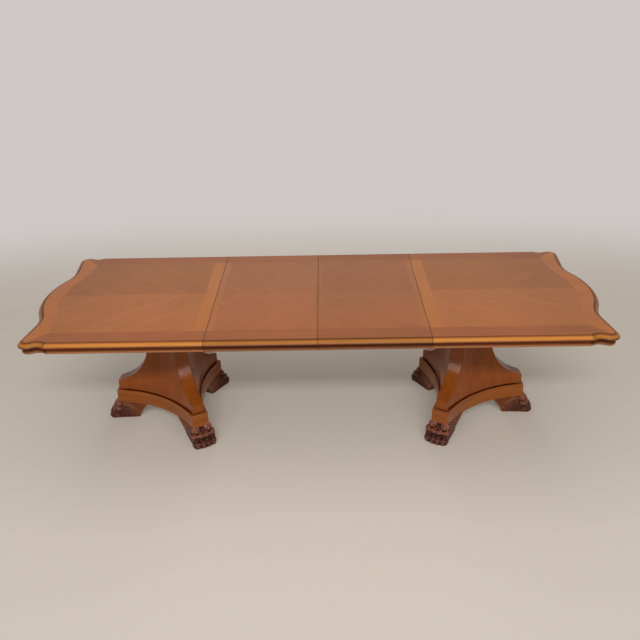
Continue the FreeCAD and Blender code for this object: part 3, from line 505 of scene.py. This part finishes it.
finishes = {
    "veneer": makeVeneer(),
    "edgeStraight": makeEdgeWood("mouldedCherryStraight", 0, "straightLightness"),
    "edgeLeaf": makeEdgeWood("mouldedCherryLeaf", 0, "leafLightness"),
    "edgeEnd": makeEdgeWood("mouldedCherryEnd", 1, "endLightness"),
    "column": makePedestalWood("cherryColumn", "column", (2,)),
    "plinth": makePedestalWood("cherryPlinth", "plinth", (0, 1)),
    "foot": makeFootWood(),
    "slide": makeSlideWood("waxedMapleRail", 0),
    "cross": makeSlideWood("waxedMapleCross", 1),
    "iron": makeMetal("castIron"),
    "zinc": makeMetal("zincPlatedSteel"),
    "nylon": makeNylon(),
}
# the first of these words that is found in a node's name decides its finish
finishByName = (
    ("end_edge_moulding", "edgeEnd"), ("edge_moulding", "edgeStraight"),
    ("leaf_front_moulding", "edgeLeaf"), ("leaf_back_moulding", "edgeLeaf"),
    ("leaf_panel", "veneer"), ("top_panel", "veneer"),
    ("column", "column"), ("plinth", "plinth"), ("paw_foot", "foot"), ("ties", "cross"), ("plate", "cross"),
    ("turn_button", "cross"), ("gear", "iron"), ("racks", "iron"), ("bolts", "zinc"), ("screws", "zinc"),
    ("glides", "nylon"), ("slide", "slide"), ("cleats", "slide"),
)
for name, node in nodes.items():
    finish = next(kind for word, kind in finishByName if word in name)
    node.data.materials.clear()
    node.data.materials.append(finishes[finish])
print("finishes on", len(nodes), "nodes")


# carved paw feet: the solid's form with claws, a ruff of fur, scrolls and ribbed sides cut into it;
# places are metres out from the pedestal's axis, across the foot and up,
# and a pair under front, foot, top, edge and the like is where a cut fades in or out
paw = {
    "pattern": "right_end_paw_foot",
    "axis": 0.845,
    "turns": {
        "right": {"end": 0, "back": 120, "front": 240},
        "left": {"end": 180, "front": 300, "back": 60},
    },
    "merge": 0.00002,
    "voxel": 0.0018,
    "mostFill": 0.016,
    "toes": {
        "across": (-0.047, -0.0157, 0.0157, 0.047),
        "setBack": 0.0068,      # how far the outer toes stand behind the inner ones
        "centre": (0.3897, 0.019),
        "radii": (0.034, 0.027),
        "fill": 0.82,
        "facing": (0.0, 0.35),
        "edge": (0.047, 0.054),
        "top": (0.036, 0.044),
        "front": (0.385, 0.392),
    },
    "ridge": {
        "centre": (0.3686, 0.066),
        "radii": (0.030, 0.018),
        "fill": 0.75,
        "foot": (0.054, 0.058),
        "top": (0.074, 0.078),
        "front": (0.370, 0.378),
    },
    "gaps": {
        "across": (-0.0314, 0.0, 0.0314),
        "depth": 0.0022,
        "width": 0.0026,
        "top": (0.046, 0.054),
        "front": (0.372, 0.386),
    },
    "claws": {
        "width": 0.0090,
        "depth": 0.0030,
        "edge": (0.7, 1.2),     # shares of the width
        "top": (0.016, 0.030),
        "front": (0.394, 0.408),
        "quickUp": 0.028,
        "quickFall": 0.008,
        "quickDepth": 0.0026,
        "quickWidth": 0.0022,
    },
    "creases": {"up": 0.041, "slope": 0.10, "depth": 0.0014, "width": 0.0018, "front": (0.372, 0.388)},
    "ruff": {
        "pitch": 0.0100,
        "depth": 0.0016,
        "sway": 0.0025,
        "swayTurn": 260,        # radians per metre of height
        "foot": (0.053, 0.060),
        "top": (0.080, 0.087),
        "front": (0.350, 0.362),
    },
    "scrolls": {
        "across": 0.036,
        "up": 0.092,
        "radius": 0.0245,
        "edge": 0.002,
        "pitch": 0.0110,
        "depth": 0.0032,
        "boss": (0.0060, 0.0090),
        "lobes": 3,
        "lobeDepth": 0.0014,
        "lobeTurn": 260,        # radians per metre outwards
        "foot": (0.074, 0.082),
        "front": (0.350, 0.358),
        "scrollHighlight": 0.60,
        "highlightMissed": 0.85,      # share of the painted highlight that doesn't reach into the cuts
    },
    "notch": {
        "depth": 0.0060,
        "width": 0.0030,
        "spread": 0.30,
        "from": 0.080,
        "height": 0.03,
        "budUp": 0.0845,
        "budSize": (0.0042, 0.0060),
        "budHeight": 0.0035,
    },
    # an ellipse on the side: its line divides the ribs from the plain wing behind
    "shell": {
        "centre": (0.345, 0.012),
        "radii": (0.112, 0.092),
        "facing": (0.40, 0.70),
        "front": (0.340, 0.352),
        "lineDepth": 0.0042,
        "lineWidth": 0.0022,
        "ribPitch": 0.0150,
        "ribDepth": 0.0030,
        "ribEdge": (0.985, 1.0),
        "curlFrom": (0.275, 0.320),
        "curlEdge": (0.93, 0.97),
        "curlShare": 0.8,
        "heelFrom": (0.66, 1.02),
        "heelFront": (0.335, 0.352),
    },
    "marks": {"depth": 0.0010, "width": 0.0075, "front": (0.352, 0.366), "onCurls": 1.5},
    "flat": {"sole": (0.0036, 0.0080), "seat": (0.102, 0.107), "seatFront": (0.350, 0.353)},
    # metres below the surface round it, and how light a place that deep is painted: glaze with painted shade
    # in the hollows
    "glazeAndPaintedLight": {
        "smoothings": 14,
        "hollows": (-0.0009, -0.0001, 0.0004, 0.0012),
        "heights": (1.0, 0.62, 0.30, 0.0),
        "onToes": 0.12,
    },
}


def fade(value, start, end):
    share = np.clip((value - start) / (end - start), 0, 1)
    return share * share * (3 - 2 * share)


def near(value, width):
    return np.exp(-(value / width) ** 2)


# gouge cuts side by side: round hollows with a sharp ridge between
def flutes(value, pitch):
    return np.abs(np.sin(math.pi * value / pitch))


# how far out a rounded row reaches at each height
def rounded(up, row):
    outward, level = row["centre"]
    deep, high = row["radii"]
    return outward + deep * np.sqrt(np.clip(1 - ((up - level) / high) ** 2, 0, 1))


def readVectors(items, name):
    values = np.empty(len(items) * 3)
    items.foreach_get(name, values)
    return values.reshape(-1, 3)


# how far each place lies below the surface round it, in metres
def hollows(mesh, places, normals):
    links = np.empty(len(mesh.edges) * 2, dtype=int)
    mesh.edges.foreach_get("vertices", links)
    one, other = links.reshape(-1, 2).T
    count = len(places)
    shares = np.bincount(links, minlength=count)
    soft = places.copy()
    for _ in range(paw["glazeAndPaintedLight"]["smoothings"]):
        for axis in range(3):
            total = np.bincount(one, soft[other, axis], count) + np.bincount(other, soft[one, axis], count)
            soft[:, axis] = (soft[:, axis] + total / shares) / 2
    return ((soft - places) * normals).sum(axis=1)


# the solid foot again, as one even mesh that is fine enough to carve
def pawBlank():
    mesh = nodes[paw["pattern"]].data.copy()
    bm = bmesh.new()
    bm.from_mesh(mesh)
    bmesh.ops.remove_doubles(bm, verts=bm.verts, dist=paw["merge"])
    bm.to_mesh(mesh)
    bm.free()
    rough = bpy.data.objects.new("pawRough", mesh)
    scene.collection.objects.link(rough)
    remesh = rough.modifiers.new("remesh", "REMESH")
    remesh.mode = "VOXEL"
    remesh.voxel_size = paw["voxel"]
    bpy.context.view_layer.update()
    blank = bpy.data.meshes.new_from_object(rough.evaluated_get(bpy.context.evaluated_depsgraph_get()))
    bpy.data.objects.remove(rough)
    return blank


# the toes and the ridge above them are partly filled between, so they read as one blunt row
def fillToes(out, across, up, forwards):
    toes = paw["toes"]
    ridge = paw["ridge"]
    inner, outer = toes["across"][-2:]
    setBack = toes["setBack"] * np.clip((np.abs(across) - inner) / (outer - inner), 0, 1)
    onToe = (1 - fade(up, *toes["top"])) * fade(out, *toes["front"])
    onRidge = fade(up, *ridge["foot"]) * (1 - fade(up, *ridge["top"])) * fade(out, *ridge["front"])
    filled = np.zeros(len(out))
    for row, share in ((toes, onToe), (ridge, onRidge)):
        filled += row["fill"] * np.clip(rounded(up, row) - setBack - out, 0, paw["mostFill"]) * share
    return filled * fade(forwards, *toes["facing"]) * (1 - fade(np.abs(across), *toes["edge"]))


# a fine line in each gap, a claw at each tip with the quick drawn round it, a crease over each toe
def cutToes(out, across, up):
    gaps = paw["gaps"]
    claws = paw["claws"]
    creases = paw["creases"]
    onToes = fade(out, *gaps["front"]) * (1 - fade(up, *gaps["top"]))
    cut = gaps["depth"] * onToes * sum(near(across - gap, gaps["width"]) for gap in gaps["across"])
    offset = np.min([np.abs(across - toe) for toe in paw["toes"]["across"]], axis=0)
    tip = fade(out, *claws["front"])
    beside = fade(offset / claws["width"], *claws["edge"])
    quick = claws["quickUp"] - claws["quickFall"] * (offset / claws["width"]) ** 2
    cut += claws["depth"] * beside * (1 - fade(up, *claws["top"])) * tip
    cut += claws["quickDepth"] * near(up - quick, claws["quickWidth"]) * tip
    arched = up - creases["up"] + creases["slope"] * offset
    cut += creases["depth"] * near(arched, creases["width"]) * fade(out, *creases["front"])
    return cut, onToes


# short locks on the ridge between the toes and the scrolls
def cutRuff(out, across, up):
    ruff = paw["ruff"]
    onRuff = fade(up, *ruff["foot"]) * (1 - fade(up, *ruff["top"])) * fade(out, *ruff["front"])
    locks = flutes(across + ruff["sway"] * np.sin(up * ruff["swayTurn"]), ruff["pitch"])
    return ruff["depth"] * (1 - locks) * onRuff


# a pair of scrolls under the corner of the plinth, parted by a notch with a bud in its foot
def cutScrolls(out, across, up):
    scrolls = paw["scrolls"]
    notch = paw["notch"]
    aside = np.abs(across) - scrolls["across"]
    rise = up - scrolls["up"]
    wind = np.arctan2(rise, aside)
    lobes = np.sin(scrolls["lobes"] * wind + scrolls["lobeTurn"] * out)
    radius = np.hypot(aside, rise) + scrolls["lobeDepth"] * lobes
    onFront = fade(out, *scrolls["front"]) * fade(up, *scrolls["foot"])
    onScroll = onFront * (1 - fade(radius, scrolls["radius"], scrolls["radius"] + scrolls["edge"]))
    spiral = flutes(radius - scrolls["pitch"] * wind / (2 * math.pi), scrolls["pitch"])
    cut = scrolls["depth"] * spiral * onScroll * fade(radius, *scrolls["boss"])
    opening = notch["width"] + notch["spread"] * np.clip(up - notch["from"], 0, notch["height"])
    budWide, budHigh = notch["budSize"]
    bud = near(np.hypot(across / budWide, (up - notch["budUp"]) / budHigh), 1)
    cut += (notch["depth"] * near(across, opening) * (1 - bud) - notch["budHeight"] * bud) * onFront
    # the second value is where the scrolls get a painted highlight
    return cut, onScroll * (1 - scrolls["highlightMissed"] * spiral)


# ribbed sides that break up into curls towards the toes, with a plain wing behind the line of the shell
def cutShell(out, up, sideways):
    shell = paw["shell"]
    centreOut, centreUp = shell["centre"]
    longWay, highWay = shell["radii"]
    spread = np.hypot((out - centreOut) / longWay, (up - centreUp) / highWay)
    inside = (1 - spread) * longWay
    flank = fade(sideways, *shell["facing"]) * (1 - fade(out, *shell["front"]))
    curled = fade(out, *shell["curlFrom"]) * flank * (1 - fade(spread, *shell["curlEdge"]))
    grooves = (1 - flutes(inside, shell["ribPitch"])) * (1 - fade(spread, *shell["ribEdge"]))
    cut = shell["ribDepth"] * grooves * flank * (1 - shell["curlShare"] * curled)
    cut += shell["lineDepth"] * near(inside, shell["lineWidth"]) * flank
    heel = fade(spread, *shell["heelFrom"]) * (1 - fade(out, *shell["heelFront"]))
    return cut, curled, heel


def carvePaw():
    mesh = pawBlank()
    places = readVectors(mesh.vertices, "co")
    normals = readVectors(mesh.vertices, "normal")
    across = places[:, 1]
    up = places[:, 2]
    places[:, 0] += fillToes(places[:, 0] - paw["axis"], across, up, normals[:, 0])
    out = places[:, 0] - paw["axis"]
    toeCut, onToes = cutToes(out, across, up)
    scrollCut, scrollHighlightMask = cutScrolls(out, across, up)
    shellCut, curled, heel = cutShell(out, up, np.abs(normals[:, 1]))
    cut = toeCut + cutRuff(out, across, up) + scrollCut + shellCut
    # short uneven tool marks over the whole front and the toe end of the sides
    marks = paw["marks"]
    uneven = np.array([noise.noise(Vector(place) / marks["width"]) for place in places])
    cut -= marks["depth"] * uneven * np.maximum(fade(out, *marks["front"]), marks["onCurls"] * curled)
    # the sole and the seat under the plinth stay flat
    flat = paw["flat"]
    seated = fade(up, *flat["seat"]) * (1 - fade(out, *flat["seatFront"]))
    cut *= fade(up, *flat["sole"]) * (1 - seated)
    places -= normals * cut[:, None]
    mesh.vertices.foreach_set("co", places.ravel())
    mesh.update()

    # the hollows darker, glaze with painted shade; a painted highlight on the scrolls, and the toes darker,
    # glaze with painted shade under the ridge
    glazeAndPaintedLight = paw["glazeAndPaintedLight"]
    hollow = hollows(mesh, places, readVectors(mesh.vertices, "normal"))
    height = np.interp(hollow, glazeAndPaintedLight["hollows"], glazeAndPaintedLight["heights"])
    height += paw["scrolls"]["scrollHighlight"] * scrollHighlightMask - glazeAndPaintedLight["onToes"] * onToes
    for name, values in (("carveHeight", np.clip(height, 0, 1)), ("heelShare", heel)):
        mesh.attributes.new(name, "FLOAT", "POINT").data.foreach_set("value", values)
    mesh.update()
    return mesh


carved = carvePaw()
for side, turns in paw["turns"].items():
    axis = paw["axis"] if side == "right" else -paw["axis"]
    for corner, turn in turns.items():
        mesh = carved.copy()
        mesh.transform(Matrix.Translation((-paw["axis"], 0, 0)))
        mesh.transform(Matrix.Rotation(math.radians(turn), 4, "Z"))
        mesh.transform(Matrix.Translation((axis, 0, 0)))
        mesh.polygons.foreach_set("use_smooth", [True] * len(mesh.polygons))
        mesh.materials.clear()
        mesh.materials.append(finishes["foot"])
        foot = bpy.data.objects.new("%sPaw%s" % (side, corner.capitalize()), mesh)
        scene.collection.objects.link(foot)
        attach(foot, "%s_half" % side)
        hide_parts("%s_%s_paw_foot" % (side, corner))
print("paws carved:", len(carved.polygons), "faces each")


# pale matt floor: a plain ground that lets the table stand out
stage = {
    "floor": "#C8BEB2",
    "rough": 0.7,
    "floorGlow": "#B2A89B",
    "floorGlowShare": 0.27,
    "distance": "#CDC8C5",
    "fading": (1.2, 3.8),       # metres from the table's middle
    "spread": (0.55, 1.0, 1.0),     # under 1 where the fading reaches farther
    "reach": 40,
}


# 1 for what the eye sees, straight or mirrored or through something clear
def addSeen(tree):
    rays = addNode(tree, "LightPath").outputs
    seen = addNode(tree, "Math", (rays["Is Camera Ray"], rays["Is Glossy Ray"]), operation="MAXIMUM")
    return addNode(tree, "Math", (seen, rays["Is Transmission Ray"]), operation="MAXIMUM")


# painted light: near the table the floor partly glows, lifting the table's shadow, and far away it fades to
# the plain pale distance, both for the eye and for reflections only
def makeFloor():
    material, tree = newMaterial("paleFloor")
    matt = addNode(tree, "BsdfPrincipled", {
        "Base Color": linearColour(stage["floor"]),
        "Roughness": stage["rough"],
    })
    place = addNode(tree, "TexCoord").outputs["Object"]
    place = addNode(tree, "VectorMath", (place, stage["spread"]), operation="MULTIPLY")
    away = addNode(tree, "VectorMath", (place,), operation="LENGTH").outputs["Value"]
    fading = addNode(tree, "MapRange", (away, *stage["fading"]), interpolation_type="SMOOTHSTEP")
    pale = addNode(tree, "MixRGB", (fading, linearColour(stage["floorGlow"]), linearColour(stage["distance"])))
    glow = addNode(tree, "Emission", {"Color": pale})
    glowShare = addNode(tree, "MapRange", (fading, 0.0, 1.0, stage["floorGlowShare"], 1.0))
    glowShare = addNode(tree, "Math", (glowShare, addSeen(tree)), operation="MULTIPLY")
    mixed = addNode(tree, "MixShader", (glowShare, matt, glow))
    addNode(tree, "OutputMaterial", {"Surface": mixed})
    return material


bm = bmesh.new()
bmesh.ops.create_grid(bm, x_segments=1, y_segments=1, size=stage["reach"])
floorMesh = bpy.data.meshes.new("floor")
bm.to_mesh(floorMesh)
bm.free()
floorMesh.materials.append(makeFloor())
floor = bpy.data.objects.new("floor", floorMesh)
scene.collection.objects.link(floor)

# soft light from all round, seen by the eye as the plain pale distance
air = {"colour": "#EFEDEA", "light": 0.30}
world = bpy.data.worlds.new("studio")
scene.world = world
world.use_nodes = True
worldTree = world.node_tree
worldTree.nodes.clear()
soft = addNode(worldTree, "Background", {"Color": linearColour(air["colour"]), "Strength": air["light"]})
pale = addNode(worldTree, "Background", {"Color": linearColour(stage["distance"]), "Strength": 1.0})
mixed = addNode(worldTree, "MixShader", (addSeen(worldTree), soft, pale))
addNode(worldTree, "OutputWorld", {"Surface": mixed})

# soft boxes: over the table, in front, one at each side aimed at the far pedestal, and a fill behind
lamps = {
    "overhead": {"place": (0, -0.8, 4.2), "aim": (0, -0.6, 0), "size": (6.0, 4.5), "power": 74},
    "front": {"place": (0, -7.2, 6.6), "aim": (0, 0, 0.4), "size": (5.0, 0.8), "power": 455},
    "leftBox": {"place": (-1.94, -2.75, 2.3), "aim": (0.75, -0.15, 0.36), "size": (0.8, 1.9), "power": 22},
    "rightBox": {"place": (1.94, -2.75, 2.3), "aim": (-0.75, -0.15, 0.36), "size": (0.8, 1.9), "power": 22},
    "back": {"place": (0, 5.5, 1.3), "aim": (0, 0, 0.45), "size": (2.4, 1.2), "power": 95},
}
for name, lamp in lamps.items():
    data = bpy.data.lights.new(name, "AREA")
    data.shape = "RECTANGLE"
    data.size, data.size_y = lamp["size"]
    data.energy = lamp["power"]
    light = bpy.data.objects.new(name, data)
    scene.collection.objects.link(light)
    light.location = lamp["place"]
    towards = Vector(lamp["aim"]) - Vector(lamp["place"])
    light.rotation_euler = towards.to_track_quat("-Z", "Y").to_euler()
    light.visible_camera = False
    light.visible_glossy = name != "back"    # a fill for the far side, kept out of the top's sheen

# where the photograph was taken from
view = {
    "place": (0.04085, -3.48767, 2.43182),
    "down": 27.583,             # degrees, as are heading and roll
    "heading": 0.535,
    "roll": -1.129,
    "lens": 39.07,
    "sensor": 36,
}
cameraData = bpy.data.cameras.new("camera")
cameraData.lens = view["lens"]
cameraData.sensor_width = view["sensor"]
camera = bpy.data.objects.new("camera", cameraData)
scene.collection.objects.link(camera)
heading = Matrix.Rotation(math.radians(view["heading"]), 4, "Z")
tilt = Matrix.Rotation(math.radians(90 - view["down"]), 4, "X")
roll = Matrix.Rotation(math.radians(view["roll"]), 4, "Z")
camera.matrix_world = Matrix.Translation(view["place"]) @ heading @ tilt @ roll
scene.camera = camera
print("stage, lamps and camera set")
